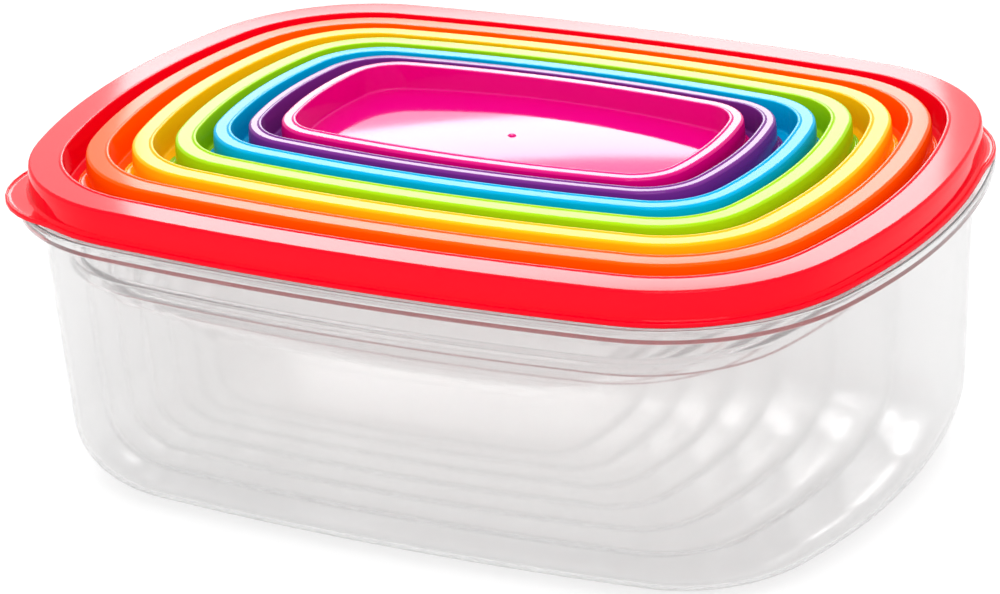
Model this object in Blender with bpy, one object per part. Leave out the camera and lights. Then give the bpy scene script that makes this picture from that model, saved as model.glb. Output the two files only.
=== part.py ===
"""Seven nesting food containers with snap-on lids, stored as one set.

Each container stands on the floor of the next larger one. The largest lid closes the largest
container, and each smaller lid lies in the recess of the next larger lid. Every container and
every lid is one moulded piece, so the set is fourteen separate solids.

Dimensions are in millimetres and are turned into metres where the vertices are made. X runs
along the length, Y across, +Z up, with the origin under the middle of the largest container.
"""

import math
from collections import namedtuple

import bmesh
import bpy

MM = 0.001
COLLECTION_NAME = "nesting_food_containers"

# Fit between separate pieces, and the draft that lets a moulded wall leave its tool
GAP = 0.3
DRAFT = 0.056

# Sides bow outwards: their radii, as a multiple of the half length
LONG_SIDE_BOW = 6.27
SHORT_SIDE_BOW = 1.436

# Lid section
LID_HEIGHT_LARGEST = 10.2
LID_HEIGHT_STEP = 0.22
PANEL = 0.8
PANEL_FOOT = 0.8
RECESS_DRAFT = 0.5
BAND_EDGE = 0.5
LIP_HEIGHT = 1.4
RIB_THICKNESS = 0.9
RIB_DROP = 3.5
RIB_ROOM = 0.8

# Container section
FLANGE_HEIGHT = 4.2
BEAD_DROP = 1.2
RIM_EDGE = 0.2

# Each corner is drawn with this many straight stretches, and each bottom fillet with three
CORNER_STEPS = 5
FILLET_STEPS = 3

# The lids' lift tabs are discs in two opposite corners. The angle is measured in the corner, from
# the length towards the width, and roundness is the disc's radius as a share of the lip's.
Tab = namedtuple("Tab", "angle roundness")
FRONT_TAB = Tab(math.radians(39.0), 0.535)
BACK_TAB = Tab(math.radians(19.0), 0.69)

# Half length, half width and corner radius are those of the lid's top edge. The lip and the two
# tabs are how far those stand out. wall_height runs from the floor up to the flange that the lid
# sits on, and wall_inset is how far the container's wall lies inside the lid's edge. The two shifts
# are where a loose piece lies inside its neighbour.
Size = namedtuple(
    "Size",
    "half_length half_width corner band skin lip front_tab back_tab wall_height wall_inset wall"
    " fillet flange lid_shift container_shift",
)
SIZES = (
    Size(140.0, 99.6, 57.0, 10.6, 1.2, 2.6, 5.3, 1.5, 88.5, 2.3, 1.4, 20.0, 4.0, (0.0, 0.0), (0.0, 0.0)),
    Size(124.5, 84.0, 46.0, 7.0, 1.2, 0.6, 2.8, 1.6, 66.6, 2.0, 1.3, 18.0, 1.4, (0.9, 0.5), (-8.1, 1.8)),
    Size(112.0, 72.5, 37.0, 6.5, 1.2, 0.6, 2.9, 1.6, 55.8, 1.8, 1.2, 16.0, 1.6, (1.8, 0.9), (-14.3, 2.8)),
    Size(100.0, 62.3, 30.0, 6.4, 1.2, 0.6, 2.7, 1.6, 48.5, 1.8, 1.2, 14.0, 1.8, (2.4, 1.2), (-20.1, 3.8)),
    Size(89.8, 52.1, 26.0, 5.4, 1.0, 0.6, 2.0, 1.1, 40.2, 1.7, 1.1, 12.0, 1.6, (2.6, 1.3), (-24.0, 4.3)),
    Size(79.0, 43.5, 21.0, 4.0, 1.0, 0.6, 2.2, 1.4, 32.2, 1.5, 1.0, 10.0, 1.8, (2.1, 1.0), (-28.4, 4.8)),
    Size(69.5, 36.8, 17.5, 4.4, 1.0, 0.6, 1.6, 1.2, 24.6, 1.5, 1.0, 9.0, 1.8, (2.4, 1.1), (-31.4, 4.8)),
)

LID_COLOURS = (
    ("red", (0.91, 0.0, 0.018)),
    ("orange", (1.0, 0.102, 0.0)),
    ("yellow", (1.0, 0.578, 0.0)),
    ("green", (0.305, 0.753, 0.007)),
    ("blue", (0.0, 0.376, 0.753)),
    ("purple", (0.114, 0.017, 0.262)),
    ("magenta", (0.753, 0.0, 0.223)),
)
CLEAR_COLOUR = (0.82, 0.83, 0.82)


def clear_scene():
    for obj in list(bpy.data.objects):
        bpy.data.objects.remove(obj, do_unlink=True)


def make_material(name, colour, roughness, alpha=1.0):
    material = bpy.data.materials.new(name)
    material.use_nodes = True
    shader = material.node_tree.nodes["Principled BSDF"]
    shader.inputs["Base Color"].default_value = (*colour, 1.0)
    shader.inputs["Roughness"].default_value = roughness
    shader.inputs["Metallic"].default_value = 0.0
    shader.inputs["Alpha"].default_value = alpha
    return material


def corner_centre(size, inset):
    """Centre of the corner arc that touches both bowed sides, with the arc's start and end angles."""
    long_radius = size.half_length * LONG_SIDE_BOW
    short_radius = size.half_length * SHORT_SIDE_BOW
    long_centre_y = size.half_width - long_radius
    short_centre_x = size.half_length - short_radius
    to_long = long_radius - size.corner
    to_short = short_radius - size.corner
    span = math.hypot(short_centre_x, long_centre_y)
    along = (to_long**2 - to_short**2 + span**2) / (2.0 * span)
    across = math.sqrt(to_long**2 - along**2)
    unit_x = short_centre_x / span
    unit_y = -long_centre_y / span
    x = unit_x * along - unit_y * across
    y = long_centre_y + unit_y * along + unit_x * across
    if x < 0.0:
        x = unit_x * along + unit_y * across
        y = long_centre_y + unit_y * along - unit_x * across
    start = math.atan2(y, x - short_centre_x)
    end = math.atan2(y - long_centre_y, x)
    return x, y, start, end, max(size.corner - inset, 1.0)


def tab_radius(radius, tab, reach, angle):
    """Distance from the corner's centre to the outline of a tab that stands out by reach."""
    disc = tab.roundness * radius
    offset = radius + reach - disc
    sideways = offset * math.sin(angle - tab.angle)
    if abs(sideways) >= disc:
        return radius
    return max(radius, offset * math.cos(angle - tab.angle) + math.sqrt(disc**2 - sideways**2))


def quarter(size, inset, tab=None, reach=0.0):
    """Outline of the +X +Y quarter, from the middle of the short side to the middle of the long."""
    x, y, start, end, radius = corner_centre(size, inset)
    angles = [start + (end - start) * step / CORNER_STEPS for step in range(CORNER_STEPS + 1)]
    points = [(size.half_length - inset, 0.0)]
    for angle in angles:
        distance = tab_radius(radius, tab, reach, angle) if tab else radius
        points.append((x + distance * math.cos(angle), y + distance * math.sin(angle)))
    points.append((0.0, size.half_width - inset))
    return points


def outline(size, inset, tabbed=False):
    """The whole outline, anticlockwise, with the back tab at +X +Y and the front tab opposite."""
    plain = quarter(size, inset)
    back = quarter(size, inset, BACK_TAB, size.back_tab) if tabbed else plain
    front = quarter(size, inset, FRONT_TAB, size.front_tab) if tabbed else plain
    ring = back[:-1]
    ring += [(-x, y) for x, y in reversed(plain)][:-1]
    ring += [(-x, -y) for x, y in front][:-1]
    ring += [(x, -y) for x, y in reversed(plain)][:-1]
    return ring


def ring_of_verts(mesh, size, inset, height, tabbed=False):
    return [mesh.verts.new((x * MM, y * MM, height * MM)) for x, y in outline(size, inset, tabbed)]


def moulding(name, size, section, place, material, collection):
    """Lofts a skin through the section, a list of (inset, height[, tabbed]) rings, and caps it."""
    bm = bmesh.new()
    rings = [ring_of_verts(bm, size, *ring) for ring in section]
    for ring, following in zip(rings, rings[1:]):
        for i in range(len(ring)):
            bm.faces.new((ring[i - 1], ring[i], following[i], following[i - 1]))
    bm.faces.new(reversed(rings[0]))
    bm.faces.new(rings[-1])
    if bm.calc_volume(signed=True) < 0.0:
        bmesh.ops.reverse_faces(bm, faces=bm.faces)
    mesh = bpy.data.meshes.new(name)
    bm.to_mesh(mesh)
    bm.free()
    mesh.shade_smooth()
    mesh.set_sharp_from_angle(angle=math.radians(30.0))
    mesh.materials.append(material)
    obj = bpy.data.objects.new(name, mesh)
    obj.location = [value * MM for value in place]
    collection.objects.link(obj)
    return obj


def lid_height(index):
    return LID_HEIGHT_LARGEST - LID_HEIGHT_STEP * index


def bead_depth(size):
    """How far each snap bead stands out, so that lid and container beads pass with the gap."""
    return (size.wall_inset - size.skin - GAP) / 2.0


def fillet(inset, radius, thickness, first, last):
    """Quarter round between wall and floor, offset inwards by thickness, as (inset, height) rings."""
    rings = []
    step = 1 if last > first else -1
    for index in range(first, last + step, step):
        angle = math.pi / 2.0 * index / FILLET_STEPS
        reach = radius - thickness
        rings.append((inset + radius - reach * math.sin(angle), radius - reach * math.cos(angle)))
    return rings


def container_section(size, height):
    """Up the outside from the floor, over the rim, and down the inside back to the floor."""
    wall = size.wall_inset
    inner = wall + size.wall
    foot = wall + DRAFT * (size.wall_height - size.fillet)
    flange_top = size.wall_height + FLANGE_HEIGHT
    section = fillet(foot, size.fillet, 0.0, 0, FILLET_STEPS)
    section += [
        (wall, size.wall_height),
        (-size.flange, size.wall_height),
        (-size.flange, flange_top),
        (wall, flange_top),
        (wall, height - 2.0 * BEAD_DROP),
        (wall - bead_depth(size), height - BEAD_DROP),
        (wall + RIM_EDGE, height),
        (inner, height),
        (inner, size.wall_height),
    ]
    section += fillet(foot, size.fillet, size.wall, FILLET_STEPS, 0)
    return section


def lid_section(size, height):
    """Out over the panel, recess, band and skirt, then back underneath through the rim's channel."""
    under_band = height - size.skin
    recess = size.band
    section = [
        (recess + RECESS_DRAFT + PANEL_FOOT, PANEL),
        (recess + RECESS_DRAFT, PANEL + PANEL_FOOT),
        (recess, height - BAND_EDGE),
        (recess - BAND_EDGE, height),
        (BAND_EDGE, height),
        (0.0, height - BAND_EDGE),
        (-size.lip / 2.0, LIP_HEIGHT),
        (-size.lip, LIP_HEIGHT - BAND_EDGE, True),
        (-size.lip, 0.0, True),
        (size.skin / 2.0, 0.0),
        (size.skin + bead_depth(size), LIP_HEIGHT / 2.0),
        (size.skin, LIP_HEIGHT),
        (size.skin, under_band),
    ]
    rib = size.wall_inset + size.wall + GAP
    if rib + RIB_THICKNESS + RIB_ROOM < recess - size.skin:
        section += [
            (rib, under_band),
            (rib, under_band - RIB_DROP),
            (rib + RIB_THICKNESS, under_band - RIB_DROP),
            (rib + RIB_THICKNESS, under_band),
        ]
    section += [
        (recess - size.skin, under_band),
        (recess - size.skin + RECESS_DRAFT, 0.0),
    ]
    return section


def container_height(index):
    """The rim reaches up into its own lid's channel, to the gap below the band."""
    size = SIZES[index]
    flange_top = size.wall_height + FLANGE_HEIGHT
    return flange_top + lid_height(index) - size.skin


def make_containers(collection):
    floor = 0.0
    for index, size in enumerate(SIZES):
        name = f"container_{index + 1}"
        material = make_material(name, CLEAR_COLOUR, 0.2, alpha=0.5)
        section = container_section(size, container_height(index))
        moulding(name, size, section, (*size.container_shift, floor), material, collection)
        floor += size.wall + GAP


def make_lids(collection):
    floor = SIZES[0].wall_height + FLANGE_HEIGHT + GAP
    for index, (size, (colour_name, colour)) in enumerate(zip(SIZES, LID_COLOURS)):
        name = f"lid_{index + 1}_{colour_name}"
        material = make_material(name, colour, 0.25)
        section = lid_section(size, lid_height(index))
        moulding(name, size, section, (*size.lid_shift, floor), material, collection)
        floor += PANEL + GAP


def main():
    clear_scene()
    collection = bpy.data.collections.new(COLLECTION_NAME)
    bpy.context.scene.collection.children.link(collection)
    make_containers(collection)
    make_lids(collection)


main()
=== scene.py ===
"""Looks for seven nesting food containers with snap lids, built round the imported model.

The containers stand one inside another, and the lids lie one in another's recesses. Every piece
is lofted again here from its rounded section, and takes its place and size from the frame.
Sections and outlines are in millimetres, and become metres where the vertices are made.
"""

import math
from collections import namedtuple

import bmesh
import bpy
from mathutils import Matrix, Vector


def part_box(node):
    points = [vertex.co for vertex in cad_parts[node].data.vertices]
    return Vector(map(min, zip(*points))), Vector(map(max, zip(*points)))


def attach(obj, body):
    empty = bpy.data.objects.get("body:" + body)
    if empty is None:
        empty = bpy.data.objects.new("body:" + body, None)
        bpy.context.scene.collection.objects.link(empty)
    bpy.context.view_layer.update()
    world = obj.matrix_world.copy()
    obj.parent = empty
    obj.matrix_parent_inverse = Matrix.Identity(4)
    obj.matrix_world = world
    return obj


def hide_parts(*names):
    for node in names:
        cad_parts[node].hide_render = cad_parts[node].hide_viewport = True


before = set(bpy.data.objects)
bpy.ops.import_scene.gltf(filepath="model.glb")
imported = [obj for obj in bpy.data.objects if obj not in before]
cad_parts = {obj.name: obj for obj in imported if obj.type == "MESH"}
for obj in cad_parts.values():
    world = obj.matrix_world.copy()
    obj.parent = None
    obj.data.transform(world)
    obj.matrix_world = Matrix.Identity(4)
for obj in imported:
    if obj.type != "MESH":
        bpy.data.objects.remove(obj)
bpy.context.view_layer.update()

MM = 0.001

# ---------------------------------------------------------------- outlines and sections

LONG_SIDE_BOW = 6.27
SHORT_SIDE_BOW = 1.436
DRAFT = 0.056
SMALLEST_RADIUS = 0.6

# Steps along half of a side, round a corner, round an edge of a section, and from floor to wall
SIDE_STEPS = 10
CORNER_STEPS = 14
EDGE_STEPS = 3
FILLET_STEPS = 10

# A round takes at most this share of the edges beside it.
ROUND_SHARE = 0.45

# The lift tabs are discs in two opposite corners of a lid, that run into its lip over TAB_BLEND
# and end TAB_END inside it.
Tab = namedtuple("Tab", "angle roundness")
FRONT_TAB = Tab(math.radians(39.0), 0.535)
BACK_TAB = Tab(math.radians(19.0), 0.69)
TAB_BLEND = 0.5
TAB_END = 2.0

# What the frame's boxes can't give: corner radius, band width, skin, lip, how far the two tabs
# stand out, and the container's wall height, inset, thickness, bottom radius and flange.
Shape = namedtuple(
    "Shape", "corner band skin lip front_tab back_tab wall_height wall_inset wall fillet flange"
)
SHAPES = (
    Shape(57.0, 10.6, 1.2, 2.6, 5.3, 1.5, 88.5, 2.3, 1.4, 20.0, 4.0),
    Shape(46.0, 7.0, 1.2, 0.6, 2.8, 1.6, 66.6, 2.0, 1.3, 18.0, 1.4),
    Shape(37.0, 6.5, 1.2, 0.6, 2.9, 1.6, 55.8, 1.8, 1.2, 16.0, 1.6),
    Shape(30.0, 6.4, 1.2, 0.6, 2.7, 1.6, 48.5, 1.8, 1.2, 14.0, 1.8),
    Shape(26.0, 5.4, 1.0, 0.6, 2.0, 1.1, 40.2, 1.7, 1.1, 12.0, 1.6),
    Shape(21.0, 4.0, 1.0, 0.6, 2.2, 1.4, 32.2, 1.5, 1.0, 10.0, 1.8),
    Shape(17.5, 4.4, 1.0, 0.6, 1.6, 1.2, 24.6, 1.5, 1.0, 9.0, 1.8),
)
FLANGE_HEIGHT = 4.2

# The panel of the smallest lid lies open, and it bulges like a shallow lens. The bulge fades out
# over DOME_FADE up the recess, which is the first DOMED_RINGS rings of the lid's section.
PANEL = 0.8
PANEL_STEPS = 12
DOME_RADIUS = 950.0
DOME_REACH = 62.0
DOME_FADE = 6.0
DOMED_RINGS = 6

# A place and size read from the frame, in millimetres
Place = namedtuple("Place", "x y floor height half_length half_width")


def place_of(node, overhang):
    """Where a node lies, with its half sizes measured to the outline that insets count from."""
    low, high = (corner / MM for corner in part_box(node))
    middle = (low + high) / 2.0
    return Place(
        middle.x, middle.y, low.z, high.z - low.z,
        (high.x - low.x) / 2.0 - overhang, (high.y - low.y) / 2.0 - overhang,
    )


class Outline:
    """A bowed rectangle with round corners, offset inwards by any inset, with two round tabs."""

    def __init__(self, half_length, half_width, corner):
        self.half_length = half_length
        self.half_width = half_width
        self.corner = corner
        self.long_radius = half_length * LONG_SIDE_BOW
        self.short_radius = half_length * SHORT_SIDE_BOW
        self.long_centre = Vector((0.0, half_width - self.long_radius))
        self.short_centre = Vector((half_length - self.short_radius, 0.0))
        self.corner_centre = self.find_corner()
        to_short = self.corner_centre - self.short_centre
        to_long = self.corner_centre - self.long_centre
        self.start = math.atan2(to_short.y, to_short.x)
        self.end = math.atan2(to_long.y, to_long.x)
        self.quarter = self.quarter_frame()

    def find_corner(self):
        to_long = self.long_radius - self.corner
        to_short = self.short_radius - self.corner
        between = self.short_centre - self.long_centre
        along = (to_long**2 - to_short**2 + between.length_squared) / (2.0 * between.length)
        across = math.sqrt(to_long**2 - along**2)
        unit = between.normalized()
        normal = Vector((-unit.y, unit.x))
        middle = self.long_centre + unit * along
        return max(middle + normal * across, middle - normal * across, key=lambda p: p.x + p.y)

    def quarter_frame(self):
        """(centre, radius, angle) of each point of the +X +Y quarter."""
        points = [
            (self.short_centre, self.short_radius, self.start * step / SIDE_STEPS)
            for step in range(SIDE_STEPS)
        ]
        sweep = self.end - self.start
        points += [
            (self.corner_centre, self.corner, self.start + sweep * step / CORNER_STEPS)
            for step in range(CORNER_STEPS)
        ]
        rest = math.pi / 2.0 - self.end
        points += [
            (self.long_centre, self.long_radius, self.end + rest * step / SIDE_STEPS)
            for step in range(SIDE_STEPS + 1)
        ]
        return points

    def tab_push(self, point, normal, tab, reach, lip):
        """How far a point of the lip's edge moves out along its normal to meet the tab's disc."""
        edge = self.corner + lip
        disc = edge * tab.roundness
        offset = edge + reach - disc
        towards = Vector((math.cos(tab.angle), math.sin(tab.angle)))
        out = point - self.corner_centre - offset * towards
        along = out.dot(normal)
        inside = along**2 - out.length_squared + disc**2
        if inside <= 0.0:
            return 0.0
        push = math.sqrt(inside) - along
        if push < -TAB_END:
            return 0.0
        return (push + math.sqrt(push**2 + TAB_BLEND**2)) / 2.0

    def quarter_points(self, inset, tab=None, reach=0.0, lip=0.0):
        points = []
        for centre, radius, angle in self.quarter:
            normal = Vector((math.cos(angle), math.sin(angle)))
            push = 0.0
            if tab and reach > 0.0:
                push = self.tab_push(centre + normal * (radius + lip), normal, tab, reach, lip)
            points.append(centre + normal * (max(radius - inset, SMALLEST_RADIUS) + push))
        return points

    def ring(self, inset, back_reach=0.0, front_reach=0.0, lip=0.0):
        """The whole outline, anticlockwise, with the back tab at +X +Y and the front tab opposite."""
        plain = self.quarter_points(inset)
        back = self.quarter_points(inset, BACK_TAB, back_reach, lip)
        front = self.quarter_points(inset, FRONT_TAB, front_reach, lip)
        ring = [(p.x, p.y) for p in back][:-1]
        ring += [(-p.x, p.y) for p in reversed(plain)][:-1]
        ring += [(-p.x, -p.y) for p in front][:-1]
        ring += [(p.x, -p.y) for p in reversed(plain)][:-1]
        return ring


def fill_panel(bm, rings, place):
    """Rings that grow from the centre of a domed panel towards the first ring of its section."""
    filled = []
    for step in range(1, PANEL_STEPS):
        scale = step / PANEL_STEPS
        ring = []
        for vert in rings[0]:
            x = (vert.co.x / MM - place.x) * scale
            y = (vert.co.y / MM - place.y) * scale
            z = place.floor + PANEL + dome_height(x, y, PANEL)
            ring.append(bm.verts.new(((place.x + x) * MM, (place.y + y) * MM, z * MM)))
        filled.append(ring)
    return filled


def round_share(radius, edge):
    """How much of an edge a round takes up."""
    return min(ROUND_SHARE, radius / max(edge.xy.length, 1e-6))


def rounded(section):
    """Rings (inset, height, tab share) through corners (inset, height, tab share, radius)."""
    rings = [Vector(section[0][:3])]
    for before, here, after in zip(section, section[1:], section[2:]):
        radius = here[3]
        point = Vector(here[:3])
        if radius <= 0.0:
            rings.append(point)
            continue
        back = Vector(before[:3]) - point
        on = Vector(after[:3]) - point
        first = point + back * round_share(radius, back)
        last = point + on * round_share(radius, on)
        for step in range(EDGE_STEPS + 1):
            t = step / EDGE_STEPS
            rings.append(first * (1 - t) ** 2 + point * 2 * t * (1 - t) + last * t**2)
    rings.append(Vector(section[-1][:3]))
    return rings


def arc(inset, radius, thickness, first, last):
    """Quarter round from a floor to a wall, offset inwards by thickness, as section corners."""
    corners = []
    reach = radius - thickness
    for step in range(FILLET_STEPS + 1):
        angle = math.radians(first + (last - first) * step / FILLET_STEPS)
        corners.append((
            inset + radius - reach * math.sin(angle), radius - reach * math.cos(angle), 0.0, 0.0
        ))
    return corners


def dome_height(x, y, height):
    """How far a point of the open panel is raised, fading out up the recess to the band."""
    fade = max(0.0, 1.0 - max(0.0, height - PANEL) / DOME_FADE)
    return fade * (DOME_REACH**2 - x * x - y * y) / (2.0 * DOME_RADIUS)


def loft(name, outline, place, shape, section, domed=False):
    """A closed skin through the section's rings, with both ends closed."""
    bm = bmesh.new()
    rings = []
    for index, (inset, height, share) in enumerate(rounded(section)):
        points = outline.ring(inset, share * shape.back_tab, share * shape.front_tab, shape.lip)
        lift = domed and index < DOMED_RINGS
        rings.append([
            bm.verts.new((
                (place.x + x) * MM,
                (place.y + y) * MM,
                (place.floor + height + (dome_height(x, y, height) if lift else 0.0)) * MM,
            ))
            for x, y in points
        ])
    if domed:
        rings = fill_panel(bm, rings, place) + rings
    for ring, following in zip(rings, rings[1:]):
        for i in range(len(ring)):
            bm.faces.new((ring[i - 1], ring[i], following[i], following[i - 1]))
    bm.faces.new(reversed(rings[0]))
    bm.faces.new(rings[-1])
    if bm.calc_volume(signed=True) < 0.0:
        bmesh.ops.reverse_faces(bm, faces=bm.faces)
    mesh = bpy.data.meshes.new(name)
    bm.to_mesh(mesh)
    bm.free()
    mesh.shade_smooth()
    obj = bpy.data.objects.new(name, mesh)
    bpy.context.scene.collection.objects.link(obj)
    weigh = obj.modifiers.new("even_faces", "WEIGHTED_NORMAL")
    weigh.mode = "FACE_AREA"
    weigh.weight = 50
    return obj


# ---------------------------------------------------------------- materials

# Names and base colours of the lids, from the largest to the smallest
LID_COLOURS = {
    "red": (0.84, 0.0, 0.012),
    "orange": (1.0, 0.10, 0.0),
    "yellow": (1.0, 0.49, 0.004),
    "green": (0.36, 0.66, 0.004),
    "blue": (0.0, 0.40, 0.72),
    "purple": (0.17, 0.02, 0.23),
    "magenta": (0.70, 0.0, 0.19),
}

# Specular level of each lid, in the same order
GLOSS_LEVELS = (0.1, 0.06, 0.045, 0.05, 0.05, 0.12, 0.17)

# The darkest shade of the faint cloudiness in a lid's colour, and the range of its roughness
CLOUD_SHADE = 0.94
LID_ROUGHNESS = (0.05, 0.08)


def shader_of(material):
    material.use_nodes = True
    return material.node_tree, material.node_tree.nodes["Principled BSDF"]


def moulded_bump(tree, shader, scale, strength, distance):
    """The faint unevenness of a moulded surface."""
    coords = tree.nodes.new("ShaderNodeTexCoord")
    noise = tree.nodes.new("ShaderNodeTexNoise")
    noise.inputs["Scale"].default_value = scale
    noise.inputs["Detail"].default_value = 3.0
    bump = tree.nodes.new("ShaderNodeBump")
    bump.inputs["Strength"].default_value = strength
    bump.inputs["Distance"].default_value = distance
    tree.links.new(coords.outputs["Object"], noise.inputs["Vector"])
    tree.links.new(noise.outputs["Fac"], bump.inputs["Height"])
    tree.links.new(bump.outputs["Normal"], shader.inputs["Normal"])
    return coords


def lid_material(name, colour, gloss_level):
    material = bpy.data.materials.new(f"{name}_polyethylene")
    tree, shader = shader_of(material)
    shader.inputs["IOR"].default_value = 1.5
    shader.inputs["Specular IOR Level"].default_value = gloss_level
    coords = moulded_bump(tree, shader, scale=40.0, strength=0.03, distance=0.0002)
    cloud = tree.nodes.new("ShaderNodeTexNoise")
    cloud.inputs["Scale"].default_value = 35.0
    cloud.inputs["Detail"].default_value = 4.0
    tint = tree.nodes.new("ShaderNodeMix")
    tint.data_type = "RGBA"
    tint.inputs["A"].default_value = (*(channel * CLOUD_SHADE for channel in colour), 1.0)
    tint.inputs["B"].default_value = (*colour, 1.0)
    gloss = tree.nodes.new("ShaderNodeMapRange")
    gloss.inputs["To Min"].default_value = LID_ROUGHNESS[0]
    gloss.inputs["To Max"].default_value = LID_ROUGHNESS[1]
    tree.links.new(coords.outputs["Object"], cloud.inputs["Vector"])
    tree.links.new(cloud.outputs["Fac"], tint.inputs["Factor"])
    tree.links.new(tint.outputs["Result"], shader.inputs["Base Color"])
    tree.links.new(cloud.outputs["Fac"], gloss.inputs["Value"])
    tree.links.new(gloss.outputs["Result"], shader.inputs["Roughness"])
    return material


def clear_material(name, colour, index_of_refraction, glow):
    """Clear plastic with a slight haze. The glow is painted light: a faint white emission that stands in
    for light scattered inside a wall.

    The inner containers refract less than the plastic does, so that many walls one behind
    another stay light.
    """
    material = bpy.data.materials.new(name)
    tree, shader = shader_of(material)
    shader.inputs["Base Color"].default_value = (*colour, 1.0)
    shader.inputs["Roughness"].default_value = 0.075
    shader.inputs["IOR"].default_value = index_of_refraction
    shader.inputs["Transmission Weight"].default_value = 0.95
    shader.inputs["Emission Color"].default_value = (1.0, 1.0, 1.0, 1.0)
    shader.inputs["Emission Strength"].default_value = glow
    moulded_bump(tree, shader, scale=60.0, strength=0.04, distance=0.0005)
    return material


# ---------------------------------------------------------------- containers

# How far the flat of a floor runs on inside its round
FLOOR_FLAT = 6.0


def container_section(shape, height):
    """Corners up the outside from the floor, over the rim, and down the inside to the floor."""
    wall = shape.wall_inset
    inner = wall + shape.wall
    foot = wall + DRAFT * (shape.wall_height - shape.fillet)
    flange_top = shape.wall_height + FLANGE_HEIGHT
    section = [(foot + shape.fillet + FLOOR_FLAT, 0.0, 0.0, 0.0)]
    section += arc(foot, shape.fillet, 0.0, 0.0, 90.0)
    section += [
        (wall, shape.wall_height, 0.0, 0.8),
        (-shape.flange, shape.wall_height, 0.0, 0.6),
        (-shape.flange, flange_top, 0.0, 0.6),
        (wall - 0.2, flange_top, 0.0, 0.4),
        (wall - 0.1, height - 1.8, 0.0, 0.3),
        (wall - 0.35, height - 1.2, 0.0, 0.3),
        (wall + 0.1, height, 0.0, 0.4),
        (inner, height, 0.0, 0.4),
        (inner, shape.wall_height, 0.0, 0.8),
    ]
    section += arc(foot, shape.fillet, shape.wall, 90.0, 0.0)
    section += [(foot + shape.fillet + FLOOR_FLAT, shape.wall, 0.0, 0.0)]
    return section


def build_container(index, material):
    name = f"container_{index + 1}"
    shape = SHAPES[index]
    place = place_of(name, shape.flange)
    outline = Outline(place.half_length, place.half_width, shape.corner)
    piece = loft(f"{name}_moulding", outline, place, shape, container_section(shape, place.height))
    piece.data.materials.append(material)
    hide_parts(name)
    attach(piece, name)


# ---------------------------------------------------------------- lids

RECESS_DRAFT = 0.5
LIP_HEIGHT = 1.4

# How far the flat of a panel runs on inside the recess's wall
PANEL_FLAT = 5.0

# The rim that rises along the inner edge of the band
RIM_RISE = 0.25
RIM_WIDTH = 0.9

# The scar of the gate as a turned profile, (radius, height over the panel), stretched in length
GATE_PROFILE = ((0.9, -0.25), (1.1, 0.1), (0.8, 0.34), (0.5, 0.12), (0.25, 0.3))
GATE_STRETCH = 1.25
GATE_STEPS = 24


def lid_section(shape, height):
    """Corners out over the panel, recess, band and skirt, then back underneath."""
    under_band = height - shape.skin
    recess = shape.band
    lip = shape.lip
    band = height - RIM_RISE
    return [
        (recess + RECESS_DRAFT + PANEL_FLAT, PANEL, 0.0, 0.0),
        (recess + RECESS_DRAFT, PANEL, 0.0, 0.9),
        (recess, height, 0.0, 0.35),
        (recess - RIM_WIDTH, height, 0.0, 0.25),
        (recess - RIM_WIDTH - 0.3, band, 0.0, 0.25),
        (0.55, band, 0.0, 0.35),
        (0.0, band - 0.55, 0.0, 0.35),
        (-0.25, height - 3.0, 0.0, 0.8),
        (-0.35, LIP_HEIGHT + 0.4, 0.0, 0.4),
        (-lip * 0.35, LIP_HEIGHT - 0.3, 0.0, 0.3),
        (-lip + 1.1, LIP_HEIGHT - 0.3, 1.0, 0.2),
        (-lip + 0.8, LIP_HEIGHT, 1.0, 0.15),
        (-lip + 0.25, LIP_HEIGHT, 1.0, 0.2),
        (-lip, LIP_HEIGHT - 0.4, 1.0, 0.2),
        (-lip, 0.0, 1.0, 0.25),
        (-lip + 1.0, 0.0, 1.0, 0.2),
        (shape.skin, 0.0, 0.0, 0.2),
        (shape.skin + 0.35, LIP_HEIGHT / 2.0, 0.0, 0.3),
        (shape.skin, LIP_HEIGHT, 0.0, 0.3),
        (shape.skin, under_band, 0.0, 0.4),
        (recess - shape.skin, under_band, 0.0, 0.4),
        (recess - shape.skin + RECESS_DRAFT, 0.0, 0.0, 0.6),
        (recess + RECESS_DRAFT + PANEL_FLAT, 0.0, 0.0, 0.0),
    ]


def build_lid(index, colour_name, colour):
    name = f"lid_{index + 1}_{colour_name}"
    shape = SHAPES[index]
    place = place_of(name, shape.lip)
    outline = Outline(place.half_length, place.half_width, shape.corner)
    smallest = index == len(SHAPES) - 1
    section = lid_section(shape, place.height)
    piece = loft(f"{name}_moulding", outline, place, shape, section, domed=smallest)
    piece.data.materials.append(lid_material(colour_name, colour, GLOSS_LEVELS[index]))
    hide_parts(name)
    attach(piece, name)
    if smallest:
        top = place.floor + PANEL + dome_height(0.0, 0.0, PANEL)
        build_gate_mark(name, piece.data.materials[0], (place.x, place.y), top)


def build_gate_mark(name, material, centre, top):
    """The rough round scar where the plastic entered the mould, in the middle of the open panel."""
    bm = bmesh.new()
    rings = []
    for radius, height in GATE_PROFILE:
        rings.append([
            bm.verts.new((
                (centre[0] + GATE_STRETCH * radius * math.cos(turn)) * MM,
                (centre[1] + radius * math.sin(turn)) * MM,
                (top + height) * MM,
            ))
            for turn in (2.0 * math.pi * step / GATE_STEPS for step in range(GATE_STEPS))
        ])
    for ring, following in zip(rings, rings[1:]):
        for i in range(GATE_STEPS):
            bm.faces.new((ring[i - 1], ring[i], following[i], following[i - 1]))
    bm.faces.new(reversed(rings[0]))
    bm.faces.new(rings[-1])
    if bm.calc_volume(signed=True) < 0.0:
        bmesh.ops.reverse_faces(bm, faces=bm.faces)
    mesh = bpy.data.meshes.new(f"{name}_gate_mark")
    bm.to_mesh(mesh)
    bm.free()
    mesh.materials.append(material)
    piece = bpy.data.objects.new(f"{name}_gate_mark", mesh)
    bpy.context.scene.collection.objects.link(piece)
    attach(piece, name)


# ---------------------------------------------------------------- studio

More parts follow.
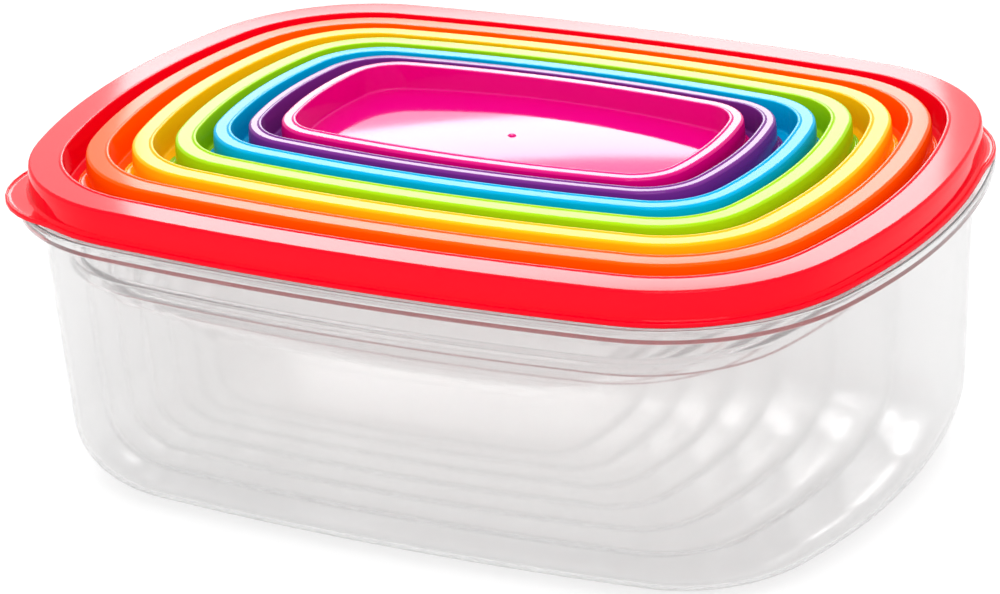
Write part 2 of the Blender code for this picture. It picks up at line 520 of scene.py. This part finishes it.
FLOOR_HALF_SIZE = 6.0
FLOOR_GAP = 0.0003
AIM = Vector((0.0, 0.0, 0.08))


def build_floor():
    mesh = bpy.data.meshes.new("floor")
    bm = bmesh.new()
    bmesh.ops.create_grid(bm, x_segments=2, y_segments=2, size=FLOOR_HALF_SIZE)
    bm.to_mesh(mesh)
    bm.free()
    obj = bpy.data.objects.new("floor", mesh)
    bpy.context.scene.collection.objects.link(obj)
    material = bpy.data.materials.new("white_table")
    _, shader = shader_of(material)
    shader.inputs["Base Color"].default_value = (0.28, 0.28, 0.28, 1.0)
    shader.inputs["Roughness"].default_value = 0.7
    shader.inputs["Emission Color"].default_value = (1.0, 1.0, 1.0, 1.0)
    shader.inputs["Emission Strength"].default_value = 0.76
    mesh.materials.append(material)
    obj.location.z = -FLOOR_GAP


def add_softbox(name, azimuth, elevation, distance, size, power):
    """A rectangular light that faces the object. Azimuth 0 lies along +Y, and 90 along +X."""
    data = bpy.data.lights.new(name, "AREA")
    data.shape = "RECTANGLE"
    data.size, data.size_y = size
    data.energy = power
    obj = bpy.data.objects.new(name, data)
    turn, lift = math.radians(azimuth), math.radians(elevation)
    towards = Vector((
        math.sin(turn) * math.cos(lift), math.cos(turn) * math.cos(lift), math.sin(lift)
    ))
    obj.location = AIM + towards * distance
    obj.rotation_euler = (-towards).to_track_quat("-Z", "Y").to_euler()
    bpy.context.scene.collection.objects.link(obj)


def build_lights():
    world = bpy.data.worlds.new("studio")
    bpy.context.scene.world = world
    world.use_nodes = True
    background = world.node_tree.nodes["Background"]
    background.inputs["Color"].default_value = (1.0, 1.0, 1.0, 1.0)
    background.inputs["Strength"].default_value = 0.98
    add_softbox("overhead", azimuth=0.0, elevation=80.0, distance=1.6, size=(1.6, 1.6), power=4.0)
    add_softbox("back_wide", azimuth=-29.0, elevation=22.0, distance=4.0, size=(2.1, 1.7), power=15.0)
    add_softbox("back_core", azimuth=-28.4, elevation=21.3, distance=12.0, size=(2.55, 1.05), power=60.0)
    add_softbox("front", azimuth=150.0, elevation=50.0, distance=1.8, size=(1.2, 0.8), power=14.0)


# ---------------------------------------------------------------- camera

CAMERA_PLACE = (0.590, -1.070, 0.5695)
CAMERA_AZIMUTH = math.radians(29.052)
CAMERA_ELEVATION = math.radians(23.043)
CAMERA_ROLL = math.radians(-3.354)
LENS = 156.06
SENSOR_WIDTH = 36.0
FAR_CLIP = 50.0


def build_camera():
    data = bpy.data.cameras.new("camera")
    data.lens = LENS
    data.sensor_width = SENSOR_WIDTH
    data.clip_end = FAR_CLIP
    camera = bpy.data.objects.new("camera", data)
    back = Vector((
        math.sin(CAMERA_AZIMUTH) * math.cos(CAMERA_ELEVATION),
        -math.cos(CAMERA_AZIMUTH) * math.cos(CAMERA_ELEVATION),
        math.sin(CAMERA_ELEVATION),
    ))
    right = Vector((math.cos(CAMERA_AZIMUTH), math.sin(CAMERA_AZIMUTH), 0.0))
    up = back.cross(right)
    turned = right * math.cos(CAMERA_ROLL) + up * math.sin(CAMERA_ROLL)
    up = up * math.cos(CAMERA_ROLL) - right * math.sin(CAMERA_ROLL)
    axes = Matrix((turned, up, back)).transposed()
    camera.matrix_world = Matrix.Translation(CAMERA_PLACE) @ axes.to_4x4()
    bpy.context.scene.collection.objects.link(camera)
    bpy.context.scene.camera = camera


def set_colour_management():
    scene = bpy.context.scene
    scene.view_settings.view_transform = "Standard"
    scene.cycles.max_bounces = 64
    scene.cycles.transmission_bounces = 64
    scene.cycles.transparent_max_bounces = 64
    scene.cycles.diffuse_bounces = 6
    scene.cycles.glossy_bounces = 6


def main():
    build_camera()
    outer = clear_material(
        "clear_polypropylene", (0.910, 0.906, 0.906), index_of_refraction=1.45, glow=0.0
    )
    # The inner containers take a copy of the plastic with painted light. It has a whiter colour and a
    # faint glow, so that the nested walls stay light.
    inner = clear_material(
        "clear_polypropylene_painted_lighter", (0.998, 0.997, 0.996), index_of_refraction=1.28, glow=0.028
    )
    for index in range(len(SHAPES)):
        build_container(index, inner if index else outer)
    for index, (colour_name, colour) in enumerate(LID_COLOURS.items()):
        build_lid(index, colour_name, colour)
    build_floor()
    build_lights()
    set_colour_management()


main()
